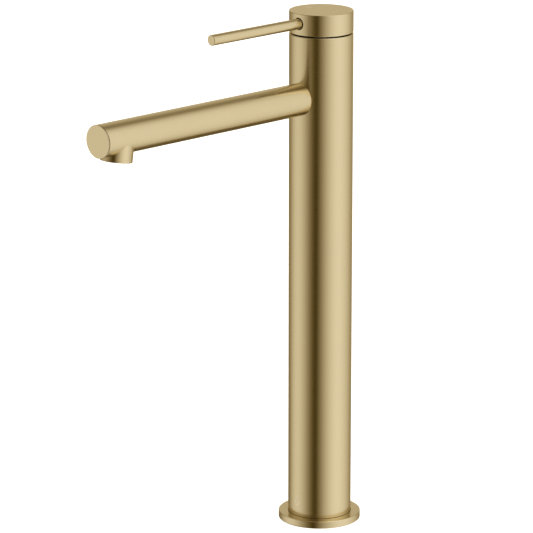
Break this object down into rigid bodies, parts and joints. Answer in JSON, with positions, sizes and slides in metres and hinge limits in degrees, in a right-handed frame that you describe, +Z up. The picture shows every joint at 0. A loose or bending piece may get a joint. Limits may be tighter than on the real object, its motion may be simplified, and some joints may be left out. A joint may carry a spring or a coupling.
{
  "type": "bathroom mixer faucet",
  "caption": "Tall single-lever basin mixer: round column on a flange, straight horizontal spout with a tilted outlet, flush hub with a thin pin lever, ceramic cartridge inside.",
  "frame": {"origin": "on the column's axis at the deck, the bottom of the base plug and flange", "axes": "+Z up along the column; -Y along the spout and the lever, towards the user; -X is the hot side and +X the cold side, the user's left and right"},
  "size_m": [0.0546, 0.2221, 0.346],
  "materials": {
    "brushed_gold": "brushed satin gold plating on brass",
    "raw_brass": "machined brass",
    "copper": "drawn copper tube",
    "steel": "stainless steel",
    "rubber": "black rubber",
    "white_plastic": "moulded white plastic",
    "grey_plastic": "moulded grey plastic",
    "black_plastic": "moulded black plastic",
    "red_plastic": "moulded red plastic",
    "ceramic": "lapped alumina"
  },
  "bodies": {
    "faucet_body": {"column_tube": "brushed_gold", "base_flange": "brushed_gold", "base_gasket": "rubber", "base_plug": "raw_brass", "hot_riser_tube": "copper", "hot_riser_lower_o_ring": "rubber", "hot_riser_upper_o_ring": "rubber", "cold_riser_tube": "copper", "cold_riser_lower_o_ring": "rubber", "cold_riser_upper_o_ring": "rubber", "valve_manifold": "raw_brass", "cartridge_base": "white_plastic", "hot_port_seal": "rubber", "cold_port_seal": "rubber", "mixed_port_seal": "rubber", "fixed_ceramic_disc": "ceramic", "cartridge_housing": "grey_plastic", "cartridge_nut": "raw_brass", "hot_limit_ring": "red_plastic", "dome_ring": "black_plastic", "spout_nipple": "raw_brass", "spout_o_ring_1": "rubber", "spout_o_ring_2": "rubber", "spout_tube": "brushed_gold", "spout_end_cap": "brushed_gold", "outlet_stub": "brushed_gold", "aerator_housing": "grey_plastic", "aerator_screen": "white_plastic", "flow_regulator": "grey_plastic", "aerator_gasket": "rubber"},
    "mixing_carrier": {"stem_carrier": "white_plastic", "pivot_pin": "steel"},
    "lever_handle": {"handle_hub": "brushed_gold", "lever_pin": "brushed_gold", "handle_set_screw": "steel", "stem": "raw_brass"},
    "sliding_disc": {"moving_ceramic_disc": "ceramic", "drive_plate": "grey_plastic"}
  },
  "joints": [
    {"name": "temperature_turn", "type": "hinge", "parent": "faucet_body", "child": "mixing_carrier", "pos_m": [0, 0, 0.31802], "axis": [0, 0, 1], "range_deg": [-45, 45]},
    {"name": "flow_lift", "type": "hinge", "parent": "mixing_carrier", "child": "lever_handle", "pos_m": [0, 0, 0.31802], "axis": [-1, 0, 0], "range_deg": [0, 24]},
    {"name": "disc_slide", "type": "slide", "parent": "mixing_carrier", "child": "sliding_disc", "axis": [0, -1, 0], "range_m": [0, 0.00292]}
  ],
  "couplings": [
    {"joint": "disc_slide", "follows": "flow_lift", "m_per_rad": 0.00695}
  ]
}
